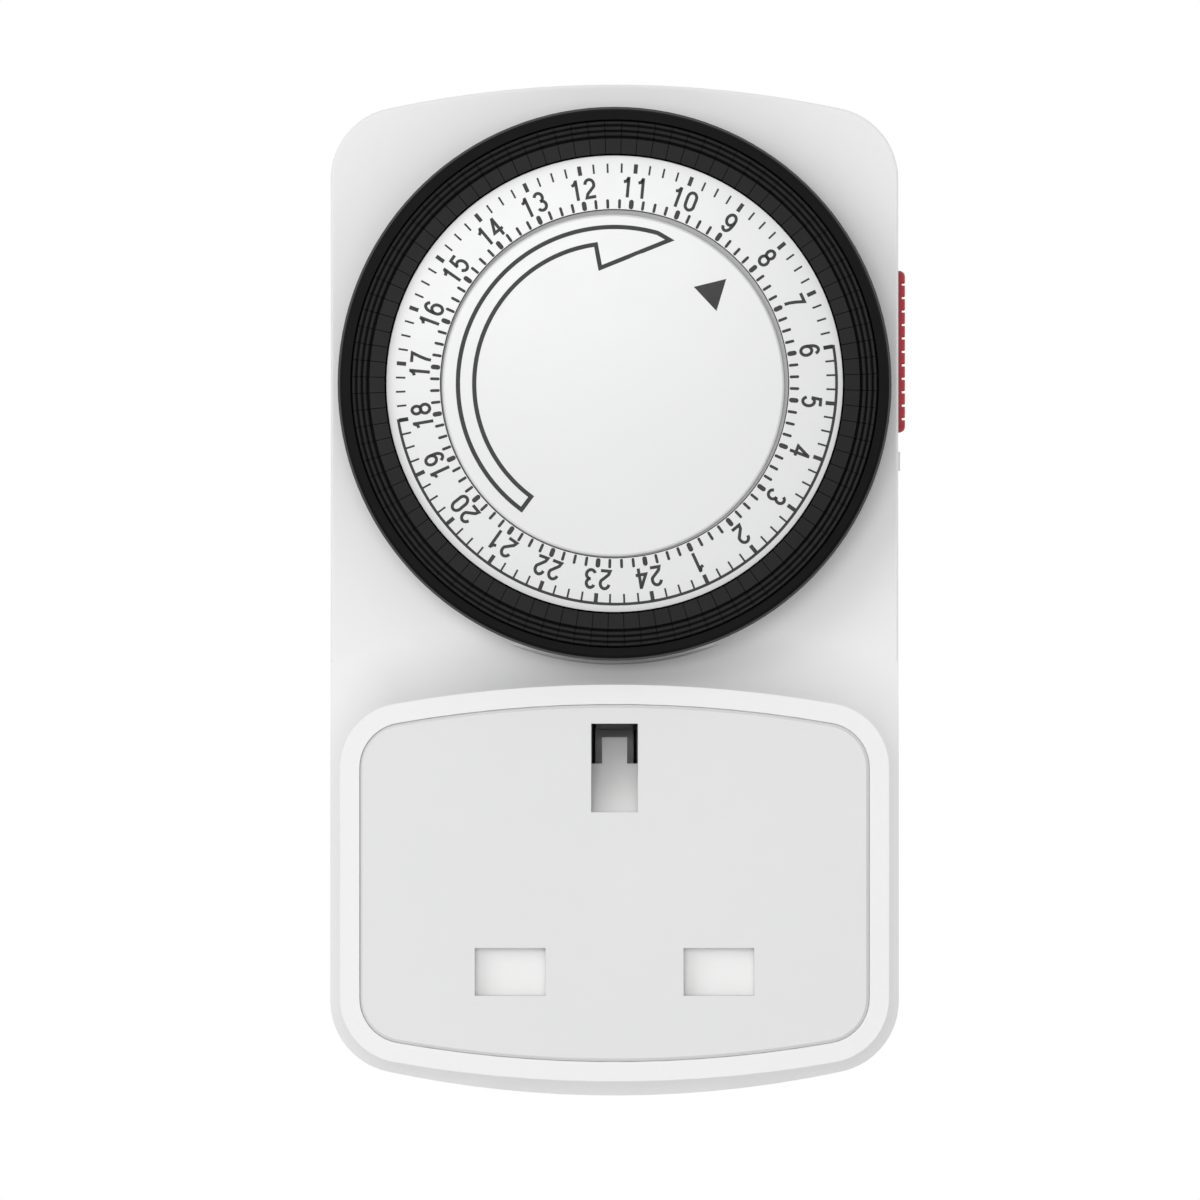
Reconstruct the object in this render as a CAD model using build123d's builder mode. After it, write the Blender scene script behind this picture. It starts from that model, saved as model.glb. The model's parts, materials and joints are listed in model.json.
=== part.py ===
"""Plug-in 24-hour timer switch with a front socket for a plug with rectangular pins.

Frame: +X right, +Z up, the dial and the socket face -Y and the plug pins point to +Y.
The origin is on the wall face, midway between the line and the neutral pin. Places are
given as (x, height) and as a depth, which is counted from the wall face to the front.
"""

from build123d import *
import math
import os

os.makedirs("parts", exist_ok=True)

# ---------------------------------------------------------------- driving dimensions (mm)
# Housing
body_width = 60.5
body_top = 94.5
body_bottom = -13.2
body_arch = 115.0
body_corner = 7.7
front_depth = 40.0
parting_depth = 20.0
wall = 2.0
front_edge_radius = 0.3
rear_edge_radius = 2.0
lip_height = 1.2
lip_clearance = 0.1

# Raised socket block and its inset plate
block_width = 58.4
block_top = 30.55
block_bottom = -11.65
block_arch = 135.0
block_corner = 6.9
block_rise = 4.0
cove_radius = 8.0
plate_inset = 2.08
plate_gap = 0.03
plate_thickness = 1.8
groove_chamfer = 0.33
ledge_width = 1.6
ledge_thickness = 1.5
carrier_setback = 7.1

# Plug and socket to the national standard for rectangular pins
pin_pitch = 22.2
earth_height = 22.2
power_pin = (6.35, 4.0)
power_pin_length = 17.7
earth_pin_size = (4.0, 8.0)
earth_pin_length = 22.7
sleeve_length = 9.5
sleeve_wall = 0.5
power_aperture = (7.5, 5.05)
earth_aperture_width = 4.95
earth_aperture_bottom = 17.0
earth_aperture_top = 26.4
pin_clearance = 0.05
pin_flange = 1.2
pad_height = 2.0
rivet_radius = 1.4

# Dial
dial_height = 62.5
collar_radius = 29.4
collar_bore = 28.02
collar_chamfer = 0.5
collar_rise = 0.7
dial_rise = 7.5
dial_plate_inner = 18.53
dial_plate_outer = 24.25
dial_plate_thickness = 1.0
dial_plate_fall = 0.3
disc_radius = 18.15
disc_thickness = 1.4
disc_neck = 1.7
disc_edge = 0.2
disc_dome = 0.35
disc_step = 0.55
disc_step_radius = 18.45
disc_offset = (-0.15, -0.17)
well_radius = 27.8
well_wall = 1.5
well_depth = 8.0
floor_thickness = 2.0
post_radius = 4.0
hub_radius = 6.5
web_thickness = 1.8
stem_radius = 1.5

# Push segments, one for each quarter of an hour
segments = 96
segments_per_hour = 4
segment_travel = 2.5
segment_gap = 0.06
segment_inner = 24.4
segment_outer = 27.9
segment_rise = 0.5
segment_head = 2.6
segment_flat_end = 26.0
ridge_pitch = 0.6
ridge_depth = 0.4
tail_inner = 25.2
tail_outer = 27.2
tail_width = 1.0
tail_length = 8.9
tail_clearance = 0.1
first_hour_angle = 279.7  # where hour 0 of the dial stands, counter-clockwise from +X
comb_drop = 0.4
comb_thickness = 2.8

# Gears: every centre distance has the same small play
ring_teeth = 64
clutch_teeth = 8
ring_module = 0.6
train_module = 0.4
pinion_teeth = 8
first_teeth = 40
second_teeth = 48
third_teeth = 48
mesh_play = 0.05
tooth_thinning = 0.1
wheel_thickness = 1.5
ring_gear_thickness = 3.2
axle_radius = 0.6
running_clearance = 0.05
clutch_angle = 195.0
second_angle = 300.0
first_angle = 15.0
motor_angle = 110.0

# Mechanism plate and motor
plate_depth = 19.5
mechanism_thickness = 1.5
motor_radius = 15.0
motor_back = 5.0
motor_wall = 0.8
motor_place = (-8.0, 67.5)
gearbox_thickness = 2.4
rotor_radius = 6.4
ear_angles = (160.0, 340.0)
ear_distance = 17.3
post_places = ((-17.0, 83.5), (6.0, 80.0), (9.5, 45.0), (-21.5, 43.5))

# Switch
follower_angle = 43.2
follower_track = 26.2
follower_radius = 1.2
follower_gap = 0.3
leaf_width = 5.0
leaf_thickness = 0.4
leaf_pivot_height = 60.0
leaf_end_height = 83.0
contact_height = 75.0
contact_radius = 1.5
contact_button = 0.8
contact_gap = 0.1
strip_width = 4.0
strip_thickness = 0.8

# Override slide in the right side
knob_bottom = 57.55
knob_length = 17.35
knob_teeth = 12
knob_depth_width = 6.0
knob_setback = 14.0
knob_rise = 0.95
knob_edge = 0.6
knob_groove = 0.35
knob_groove_width = 0.3
mark_height = 54.45
mark_length = 2.05
mark_rise = 0.45
slide_travel = 4.5
slide_clearance = 0.2
slide_plate = 1.2

# Shutter
shutter_travel = 6.8
shutter_thickness = 2.0
shutter_gap = 0.2
shutter_half = 15.4
blade_bottom = -2.8
blade_top = 2.9
ramp_depth = 5.3
ramp_top = 24.9
tongue_start = 22.1
tongue_width = 2.7
stem_width = 6.4

# Housing screws
screw_places = ((24.0, 86.5), (-24.0, 86.5), (24.0, -6.3), (-24.0, -6.3))
screw_radius = 1.3
screw_head_radius = 2.4
screw_head = 1.6
screw_seat = 12.0
screw_length = 16.0
boss_wall = 1.3

# ---------------------------------------------------------------- derived places
half_body = body_width / 2
half_block = block_width / 2
block_depth = front_depth + block_rise
ledge_depth = block_depth - plate_thickness
carrier_back = block_depth - carrier_setback
knob_depth = front_depth - knob_setback
collar_back = front_depth + collar_rise
dial_front = front_depth + dial_rise
segment_top = dial_front + segment_rise
comb_depth = front_depth - comb_drop
floor_depth = front_depth - well_depth
floor_back = floor_depth - floor_thickness
power_x = pin_pitch / 2
segment_angle = 360 / segments
strip_foot = pad_height + wall + pin_flange + pin_clearance


def around(centre, distance, angle):
    """The point at a distance and an angle from a centre, as (x, height)."""
    turn = math.radians(angle)
    return (centre[0] + distance * math.cos(turn), centre[1] + distance * math.sin(turn))


dial_centre = (0.0, dial_height)
ring_radius = ring_module * ring_teeth / 2
clutch_place = around(
    dial_centre, ring_module * (ring_teeth - clutch_teeth) / 2 - mesh_play, clutch_angle
)
third_distance = train_module * (third_teeth + pinion_teeth) / 2 + mesh_play
second_distance = train_module * (second_teeth + pinion_teeth) / 2 + mesh_play
first_distance = train_module * (first_teeth + pinion_teeth) / 2 + mesh_play
second_place = around(clutch_place, third_distance, second_angle)
first_place = around(second_place, second_distance, first_angle)
shaft_place = around(first_place, first_distance, motor_angle)
follower_place = around(dial_centre, follower_track, follower_angle)
ear_places = [around(motor_place, ear_distance, angle) for angle in ear_angles]

# The wheels stand in three layers between the mechanism plate and the floor of the well
mechanism_front = plate_depth + mechanism_thickness
layer_gap = 0.6
layer_height = wheel_thickness + layer_gap + 0.3
first_layer = mechanism_front + layer_gap
second_layer = first_layer + layer_height
third_layer = second_layer + layer_height
clutch_face = third_layer + wheel_thickness + 0.1

# Switch places: the leaf lies under the follower and its button over the fixed one
tail_end = segment_top - segment_head - tail_length
leaf_face = floor_back - 4.3
follower_foot = leaf_face + follower_gap
follower_top = tail_end - follower_gap
leaf_angle = math.atan(segment_travel / (follower_place[1] - leaf_pivot_height))
button_drop = (contact_height + contact_radius - leaf_pivot_height) * math.tan(leaf_angle)
fixed_button_top = leaf_face - leaf_thickness - contact_button - button_drop - contact_gap
return_depth = 21.0


# ---------------------------------------------------------------- planes and shared shapes
def level(depth, place=(0.0, 0.0)):
    """A sketch plane at a depth, seen from the front: local x is +X and local y is +Z."""
    return Plane((place[0], -depth, place[1]), x_dir=(1, 0, 0), z_dir=(0, -1, 0))


def radial(place):
    """A sketch plane of (radius, depth) that holds the front-to-back axis through a place."""
    return Plane((place[0], 0, place[1]), x_dir=(1, 0, 0), z_dir=(0, 0, -1))


def depth_axis(place):
    """The front-to-back axis through a place."""
    return Axis((place[0], 0, place[1]), (0, -1, 0))


def upright(x):
    """A sketch plane of (height, depth) at an x; extruding goes to +X."""
    return Plane((x, 0, 0), x_dir=(0, 0, 1), z_dir=(1, 0, 0))


def flat(height):
    """A sketch plane of (x, depth) at a height."""
    return Plane((0, 0, height), x_dir=(1, 0, 0), z_dir=(0, 0, -1))


def arched_face(depth, half_width, bottom, top, arch, corner):
    """An outline with straight sides, an arched top and bottom and rounded corners."""
    with BuildSketch(level(depth)) as face:
        with Locations((0, top - arch)):
            Circle(arch)
        with Locations((0, bottom + arch)):
            Circle(arch, mode=Mode.INTERSECT)
        with Locations((0, (top + bottom) / 2)):
            Rectangle(2 * half_width, top - bottom, mode=Mode.INTERSECT)
        fillet(face.vertices(), corner)
    return face.sketch


def body_face(depth, inset=0.0):
    """The housing's outline, offset inwards by an inset."""
    return arched_face(
        depth,
        half_body - inset,
        body_bottom + inset,
        body_top - inset,
        body_arch - inset,
        body_corner - inset,
    )


def block_face(depth, inset=0.0):
    """The socket block's outline, offset inwards by an inset."""
    return arched_face(
        depth,
        half_block - inset,
        block_bottom + inset,
        block_top - inset,
        block_arch - inset,
        block_corner - inset,
    )


def box_face(depth, size, centre):
    """A rectangle of (width, height) about a centre, at a depth."""
    with BuildSketch(level(depth, centre)) as face:
        Rectangle(*size)
    return face.sketch


def span_face(depth, left, right, bottom, top):
    """A rectangle given by its sides, at a depth."""
    return box_face(depth, (right - left, top - bottom), ((left + right) / 2, (bottom + top) / 2))


def disc_faces(depth, radius, places):
    """Circles of one radius about several places, at a depth."""
    with BuildSketch(level(depth)) as face:
        with Locations(*places):
            Circle(radius)
    return face.sketch


def save(builder, label):
    """Labels a finished piece and writes its STEP file."""
    builder.part.label = label
    export_step(builder.part, f"parts/{label}.step")


# ---------------------------------------------------------------- gear teeth
pressure_angle = math.radians(20)
addendum = 0.88
dedendum = 1.25


def involute(angle):
    return math.tan(angle) - angle


def tooth_points(teeth, module, phase, heights, internal=False):
    """Outline points of spur teeth. heights are flank points in modules, from root to tip."""
    pitch_radius = module * teeth / 2
    base_radius = pitch_radius * math.cos(pressure_angle)
    half_pitch = math.pi / (2 * teeth) * (1 - tooth_thinning)
    way = -1 if internal else 1
    flank = []
    for height in heights:
        radius = pitch_radius + way * height * module
        rise = involute(math.acos(min(1, base_radius / radius)))
        flank.append((radius, half_pitch + way * (involute(pressure_angle) - rise)))
    points = []
    for tooth in range(teeth):
        middle = math.radians(phase) + 2 * math.pi * tooth / teeth
        sides = [(radius, middle - half) for radius, half in flank]
        sides += [(radius, middle + half) for radius, half in reversed(flank)]
        points += [(r * math.cos(a), r * math.sin(a)) for r, a in sides]
    return points


def wheel_face(depth, place, teeth, phase):
    """The outline of a train wheel, with straight flanks."""
    with BuildSketch(level(depth, place)) as face:
        with BuildLine():
            heights = (-dedendum, addendum)
            Polyline(*tooth_points(teeth, train_module, phase, heights), close=True)
        make_face()
    return face.sketch


def pinion_face(depth, place, teeth, module, phase):
    """The outline of a pinion, whose flanks bend at three heights."""
    with BuildSketch(level(depth, place)) as face:
        with BuildLine():
            heights = (-dedendum, -0.4, 0.2, addendum)
            Polyline(*tooth_points(teeth, module, phase, heights), close=True)
        make_face()
    return face.sketch


# ---------------------------------------------------------------- front housing
cove_width = math.sqrt(cove_radius**2 - (cove_radius - block_rise) ** 2)
cove_root = front_edge_radius + 0.3
half_sweep = math.asin(cove_width / cove_radius) / 2
front = Vector(0, -1, 0)
block_edge = block_face(front_depth).wire()
cove_start = block_edge @ 0
away = (block_edge % 0).cross(front)
if away.dot(cove_start - Vector(0, -front_depth, (block_top + block_bottom) / 2)) < 0:
    away = away * -1

with BuildPart() as cove:
    # local x leads away from the block and local y to the front
    with BuildSketch(Plane(cove_start, x_dir=away, z_dir=away.cross(front))):
        with BuildLine():
            Polyline(
                (0, block_rise),
                (-1.0, block_rise),
                (-1.0, -cove_root),
                (cove_width, -cove_root),
                (cove_width, 0),
            )
            ThreePointArc(
                (cove_width, 0),
                (
                    cove_width - cove_radius * math.sin(half_sweep),
                    cove_radius * (1 - math.cos(half_sweep)),
                ),
                (0, block_rise),
            )
        make_face()
    sweep(path=block_edge)
    extrude(
        body_face(front_depth - cove_root),
        amount=block_rise + cove_root,
        mode=Mode.INTERSECT,
    )

knob_middle = knob_bottom + knob_length / 2
slot_top = knob_bottom + knob_length + slide_travel + slide_clearance
slot_bottom = knob_bottom - slide_clearance
inner_face_x = half_body - wall
slide_outer = inner_face_x - 0.1
slide_inner = slide_outer - slide_plate
slide_half_depth = knob_depth_width / 2 + 0.6
rail_bottom = knob_depth - slide_half_depth - slide_clearance
rail_top = knob_depth + slide_half_depth + slide_clearance

with BuildPart() as front_housing:
    extrude(body_face(parting_depth), amount=front_depth - parting_depth)
    fillet(front_housing.faces().sort_by(Axis.Y)[0].edges(), front_edge_radius)
    extrude(block_face(front_depth - 1), amount=block_rise + 1)
    add(cove.part)
    # hollow body, with a rebate for the rear housing's lip
    extrude(
        body_face(parting_depth, wall),
        amount=front_depth - wall - parting_depth,
        mode=Mode.SUBTRACT,
    )
    extrude(body_face(parting_depth, wall / 2), amount=lip_height + 0.1, mode=Mode.SUBTRACT)
    # block: opening behind the plate, ledge under it and the recess that it lies in
    extrude(
        block_face(front_depth - wall, plate_inset),
        amount=ledge_depth - ledge_thickness - front_depth + wall,
        mode=Mode.SUBTRACT,
    )
    extrude(
        block_face(front_depth - wall, plate_inset + ledge_width),
        amount=ledge_depth - front_depth + wall,
        mode=Mode.SUBTRACT,
    )
    extrude(block_face(ledge_depth, plate_inset), amount=plate_thickness, mode=Mode.SUBTRACT)
    extrude(
        span_face(
            ledge_depth - ledge_thickness - 1.2,
            -shutter_half - 1.4,
            shutter_half + 1.4,
            blade_bottom - shutter_travel - 0.3,
            0,
        ),
        amount=ledge_thickness + 1.2,
        mode=Mode.SUBTRACT,
    )
    # scallop in the cove under the dial's collar
    extrude(
        disc_faces(collar_back - 0.4, collar_radius + 0.4, [dial_centre]),
        amount=block_depth - collar_back + 0.4,
        mode=Mode.SUBTRACT,
    )
    # dial well with its floor and the post that carries the dial
    extrude(
        disc_faces(floor_back, well_radius + well_wall, [dial_centre]),
        amount=front_depth - 0.7 - floor_back,
    )
    extrude(
        disc_faces(floor_depth, well_radius, [dial_centre]),
        amount=block_depth - floor_depth,
        mode=Mode.SUBTRACT,
    )
    post_top = dial_front - disc_thickness - disc_neck
    extrude(disc_faces(floor_back, post_radius, [dial_centre]), amount=post_top - floor_back)
    extrude(
        disc_faces(post_top - 10, stem_radius + running_clearance, [dial_centre]),
        amount=10,
        mode=Mode.SUBTRACT,
    )
    # floor: clutch opening, follower guide and blind bearings for two axles
    extrude(disc_faces(floor_depth, follower_radius + 1.1, [follower_place]), amount=1.4)
    extrude(
        disc_faces(floor_back, follower_radius + 0.1, [follower_place]),
        amount=floor_thickness + 1.4,
        mode=Mode.SUBTRACT,
    )
    extrude(
        disc_faces(floor_back, ring_module * (clutch_teeth / 2 + 1) + 0.3, [clutch_place]),
        amount=floor_thickness,
        mode=Mode.SUBTRACT,
    )
    extrude(
        disc_faces(
            floor_back, axle_radius + running_clearance, [first_place, second_place]
        ),
        amount=1.2,
        mode=Mode.SUBTRACT,
    )
    # posts with staked heads for the mechanism plate
    extrude(
        disc_faces(mechanism_front, 1.8, post_places), amount=floor_back - mechanism_front
    )
    extrude(disc_faces(plate_depth - 0.6, 0.9, post_places), amount=mechanism_thickness + 0.7)
    extrude(disc_faces(plate_depth - 0.7, 1.6, post_places), amount=0.7)
    # bosses for the housing screws; webs tie the lower two to the side walls
    boss_radius = screw_radius + boss_wall
    extrude(
        disc_faces(parting_depth, boss_radius, screw_places[:2]),
        amount=front_depth - wall - parting_depth,
    )
    lower_boss = parting_depth + lip_height + 0.3
    extrude(disc_faces(lower_boss, boss_radius, screw_places[2:]), amount=carrier_back - lower_boss)
    for x, height in screw_places[2:]:
        web = sorted((x, math.copysign(inner_face_x + 0.2, x)))
        extrude(span_face(lower_boss, *web, height - 1, height + 1), amount=15.0)
    extrude(
        disc_faces(parting_depth, screw_radius - 0.2, screw_places), amount=10, mode=Mode.SUBTRACT
    )
    # guide rails and slot of the override slide
    for edge, lip in ((rail_bottom, 1), (rail_top, -1)):
        with BuildSketch(flat(knob_middle + slide_travel / 2)):
            with BuildLine():
                Polyline(
                    (inner_face_x + 0.2, edge),
                    (inner_face_x + 0.2, edge - lip * 0.9),
                    (slide_inner - 1.1, edge - lip * 0.9),
                    (slide_inner - 1.1, edge + lip * 0.7),
                    (slide_inner - 0.2, edge + lip * 0.7),
                    (slide_inner - 0.2, edge),
                    close=True,
                )
            make_face()
        extrude(amount=13, both=True)
    with BuildSketch(Plane.YZ.offset(inner_face_x - 0.5)):
        with Locations((-knob_depth, (slot_top + slot_bottom) / 2)):
            RectangleRounded(knob_depth_width + 0.2, slot_top - slot_bottom, 1.0)
    extrude(amount=wall + 1, mode=Mode.SUBTRACT)
    # small raised mark below the slide
    with BuildSketch(Plane.YZ.offset(half_body - 0.2)):
        with Locations((-knob_depth, mark_height)):
            SlotOverall(mark_length, 0.9, rotation=90)
    extrude(amount=0.2 + mark_rise)
    # chamfer of the V-groove round the plate
    rim = front_housing.faces().filter_by(Plane.XZ).sort_by(Axis.Y)[0]
    chamfer(rim.inner_wires()[0].edges(), groove_chamfer)
save(front_housing, "front_housing")

# ---------------------------------------------------------------- rear housing
power_places = ((-power_x, 0.0), (power_x, 0.0))
earth_place = (0.0, earth_height)
long_post_places = ((24.0, 24.0), (-24.0, 24.0))

with BuildPart() as rear_housing:
    extrude(body_face(0), amount=parting_depth)
    fillet(rear_housing.faces().sort_by(Axis.Y)[-1].edges(), rear_edge_radius)
    extrude(body_face(wall, wall), amount=parting_depth - wall, mode=Mode.SUBTRACT)
    lip = wall / 2 + lip_clearance
    extrude(body_face(parting_depth - 1, lip), amount=lip_height + 1)
    extrude(body_face(parting_depth - 1, wall), amount=lip_height + 1, mode=Mode.SUBTRACT)
    # seats of the plug pins
    for place in power_places:
        extrude(box_face(wall - 0.5, (11.0, 8.6), place), amount=pad_height + 0.5)
    extrude(box_face(wall - 0.5, (8.6, 12.6), earth_place), amount=pad_height + 0.5)
    for place in power_places:
        size = [side + 2 * pin_clearance for side in power_pin]
        extrude(box_face(0, size, place), amount=wall + pad_height, mode=Mode.SUBTRACT)
    size = [side + 2 * pin_clearance for side in earth_pin_size]
    extrude(box_face(0, size, earth_place), amount=wall + pad_height, mode=Mode.SUBTRACT)
    # ribs across the back of the motor and posts behind the contact carrier
    for height in (motor_place[1] - 6, motor_place[1] + 6):
        extrude(span_face(wall - 0.5, -26, 14, height - 0.6, height + 0.6), amount=2.3)
    extrude(disc_faces(wall - 0.5, 2.0, long_post_places), amount=carrier_back - wall + 0.5)
    # screw bosses, open at the back down to the seats of the heads
    tube = screw_head_radius + 1.2
    extrude(disc_faces(wall - 0.5, tube, screw_places), amount=parting_depth - wall + 0.5)
    extrude(
        disc_faces(0, screw_head_radius + 0.3, screw_places),
        amount=screw_seat,
        mode=Mode.SUBTRACT,
    )
    extrude(
        disc_faces(0, screw_radius + 0.15, screw_places), amount=parting_depth, mode=Mode.SUBTRACT
    )
save(rear_housing, "rear_housing")

with BuildPart() as housing_screws:
    extrude(disc_faces(screw_seat - screw_head, screw_head_radius, screw_places), amount=screw_head)
    extrude(disc_faces(screw_seat, screw_radius - 0.25, screw_places), amount=screw_length)
save(housing_screws, "housing_screws")

# ---------------------------------------------------------------- socket plate and shutter
with BuildPart() as socket_plate:
    extrude(block_face(ledge_depth, plate_inset + plate_gap), amount=plate_thickness)
    chamfer(socket_plate.faces().sort_by(Axis.Y)[0].edges(), groove_chamfer)
    for place in power_places:
        extrude(
            box_face(ledge_depth, power_aperture, place),
            amount=plate_thickness,
            mode=Mode.SUBTRACT,
        )
    extrude(
        span_face(
            ledge_depth,
            -earth_aperture_width / 2,
            earth_aperture_width / 2,
            earth_aperture_bottom,
            earth_aperture_top,
        ),
        amount=plate_thickness,
        mode=Mode.SUBTRACT,
    )
save(socket_plate, "socket_plate")

shutter_front = ledge_depth - shutter_gap
shutter_back = shutter_front - shutter_thickness
peg_height = 9.1
with BuildPart() as shutter:
    extrude(
        span_face(shutter_back, -shutter_half, shutter_half, blade_bottom, blade_top),
        amount=shutter_thickness,
    )
    # stem, ramp and tongue share one side profile
    for half, lower, upper in (
        (stem_width / 2, blade_top - 1, tongue_start),
        (tongue_width / 2, tongue_start - 1, ramp_top),
    ):
        with BuildSketch(upright(-half)):
            with BuildLine():
                slope = ramp_depth / (ramp_top - earth_aperture_bottom)
                Polyline(
                    (blade_top - 1, shutter_back),
                    (earth_aperture_bottom, shutter_back),
                    (upper, shutter_back - slope * (upper - earth_aperture_bottom)),
                    (upper, shutter_front - slope * (upper - earth_aperture_bottom)),
                    (earth_aperture_bottom, shutter_front),
                    (blade_top - 1, shutter_front),
                    close=True,
                )
            make_face()
        extrude(amount=2 * half)
    # peg that the spring pushes on
    peg_back = carrier_back - 0.1
    extrude(
        span_face(peg_back, -1.9, 1.9, peg_height, peg_height + 1),
        amount=shutter_back + 0.1 - peg_back,
    )
save(shutter, "shutter")

spring_seat = -2.0
spring_folds = 6
spring_depth = 1.6
with BuildPart() as shutter_spring:
    with BuildSketch(level(carrier_back + 0.2)):
        with BuildLine():
            fold = (peg_height - spring_seat - 0.6) / spring_folds
            turns = [(0, spring_seat + 0.3)]
            for n in range(spring_folds):
                turns.append((1.6 * (-1) ** n, spring_seat + 0.3 + fold * (n + 0.5)))
            turns.append((0, peg_height - 0.3))
            Polyline(*turns)
        trace(line_width=0.4)
    extrude(amount=spring_depth)
save(shutter_spring, "shutter_spring")

# ---------------------------------------------------------------- contact carrier and clips
clip_thickness = 0.6
clip_base = 21.8
earth_clip_base = 20.2
power_box = (11.4, 11.8)
power_cavity = (9.6, 9.4)
power_box_back = 21.0
cavity_front = carrier_back - 1.4
earth_box = (11.0, 13.3)
earth_box_centre = (0.0, 21.55)
earth_cavity = (8.6, 11.0)
earth_cavity_centre = (0.0, 21.6)
earth_box_back = 19.0
earth_wall_back = carrier_back - 3.9
earth_wall_front = carrier_back - 2.7
earth_mouth = (4.7, 8.8)
carrier_front = carrier_back + 2.0
window_half = 3.8
window_bottom = 9.4
window_top = 27.1
channel_back = carrier_back - 1.5
channel_half = 2.4
runner_sides = (4.6, 5.6)
guide_span = (-8.0, 4.0)
pad_sides = (23.0, 26.0)
pad_span = (4.0, 18.0)

with BuildPart() as contact_carrier:
    extrude(block_face(carrier_back, plate_inset + 0.4), amount=carrier_front - carrier_back)
    for place in power_places:
        extrude(box_face(power_box_back, power_box, place), amount=carrier_back - power_box_back)
    extrude(
        box_face(earth_box_back, earth_box, earth_box_centre),
        amount=carrier_back - earth_box_back,
    )
    for place in power_places:
        extrude(
            box_face(power_box_back, power_cavity, place),
            amount=cavity_front - power_box_back,
            mode=Mode.SUBTRACT,
        )
        extrude(
            box_face(cavity_front, (7.6, 5.2), place),
            amount=carrier_front - cavity_front,
            mode=Mode.SUBTRACT,
        )
    extrude(
        box_face(earth_box_back, earth_cavity, earth_cavity_centre),
        amount=earth_wall_back - earth_box_back,
        mode=Mode.SUBTRACT,
    )
    extrude(
        box_face(earth_wall_back, earth_mouth, earth_place),
        amount=earth_wall_front - earth_wall_back,
        mode=Mode.SUBTRACT,
    )
    # notches for the strips that leave the boxes
    half_notch = strip_width / 2 + 0.1
    for side in (-1, 1):
        notch = sorted((side * power_x, side * (power_x + power_box[0] / 2 + 0.1)))
        extrude(
            span_face(power_box_back, *notch, -half_notch, half_notch),
            amount=clip_base - power_box_back,
            mode=Mode.SUBTRACT,
        )
    extrude(
        span_face(earth_box_back, -half_notch, half_notch, earth_height, 28.3),
        amount=earth_clip_base - clip_thickness / 2 - earth_box_back,
        mode=Mode.SUBTRACT,
    )
    extrude(
        span_face(earth_wall_front, -window_half, window_half, window_bottom, window_top),
        amount=carrier_front - earth_wall_front,
        mode=Mode.SUBTRACT,
    )
    # channel of the shutter spring with a seat at its lower end
    extrude(
        span_face(channel_back, -channel_half, channel_half, spring_seat - 1.6, spring_seat),
        amount=carrier_front - channel_back,
    )
    extrude(
        span_face(channel_back, -channel_half, channel_half, spring_seat, window_bottom + 1),
        amount=carrier_front - channel_back,
        mode=Mode.SUBTRACT,
    )
    # side guides and runners of the shutter, and pads against the ledge
    for side in (-1, 1):
        guide = sorted((side * (shutter_half + 0.2), side * (shutter_half + 1.2)))
        extrude(
            span_face(carrier_front, *guide, *guide_span), amount=shutter_back + 1.2 - carrier_front
        )
        runner = sorted(side * x for x in runner_sides)
        extrude(
            span_face(carrier_front, *runner, *guide_span),
            amount=shutter_back - 0.1 - carrier_front,
        )
        pad = sorted(side * x for x in pad_sides)
        extrude(
            span_face(carrier_front, *pad, *pad_span),
            amount=ledge_depth - ledge_thickness - carrier_front,
        )
save(contact_carrier, "contact_carrier")

pinch = 4.1


def leaf_line(foot, reach, back, front):
    """One clip leaf in (across, depth): it leans in to the pin and flares at its mouth."""
    waist = pinch / 2 + clip_thickness / 2
    return (
        (foot, back),
        (foot, back + reach * 0.25),
        (waist, back + reach * 0.75),
        (waist + 0.9, front),
    )


def clip_leaves(plane, back, front, foot, half_width):
    """The two leaves of a spring clip and the base between them."""
    with BuildPart() as leaves:
        with BuildSketch(plane):
            with BuildLine():
                right = Polyline(*leaf_line(foot, front - back, back, front))
            trace(right, line_width=clip_thickness)
            with BuildLine():
                left = Polyline(*[(-a, d) for a, d in leaf_line(foot, front - back, back, front)])
            trace(left, line_width=clip_thickness)
            with BuildLine():
                base = Line((-foot, back), (foot, back))
            trace(base, line_width=clip_thickness)
        extrude(amount=half_width, both=True)
    return leaves.part


clip_front = carrier_back - 2.3
for label, x in (("neutral_clip", -power_x), ("line_clip", power_x)):
    with BuildPart() as clip:
        plane = Plane((x, 0, 0), x_dir=(0, 0, 1), z_dir=(1, 0, 0))
        add(clip_leaves(plane, clip_base + clip_thickness / 2, clip_front, 3.4, 3.0))
        if label == "neutral_clip":
            # the strip goes back outside the carrier's box to the pin
            with BuildSketch(flat(0)):
                with BuildLine():
                    tail = Polyline(
                        (x, clip_base - strip_thickness / 2),
                        (x - 7.0, clip_base - strip_thickness / 2),
                        (x - 7.0, strip_foot + strip_thickness / 2),
                        (x + 2.6, strip_foot + strip_thickness / 2),
                    )
                trace(tail, line_width=strip_thickness)
            extrude(amount=strip_width / 2, both=True)
            extrude(
                disc_faces(strip_foot, rivet_radius + pin_clearance, [(x, 0)]),
                amount=strip_thickness,
                mode=Mode.SUBTRACT,
            )
    save(clip, label)

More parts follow.
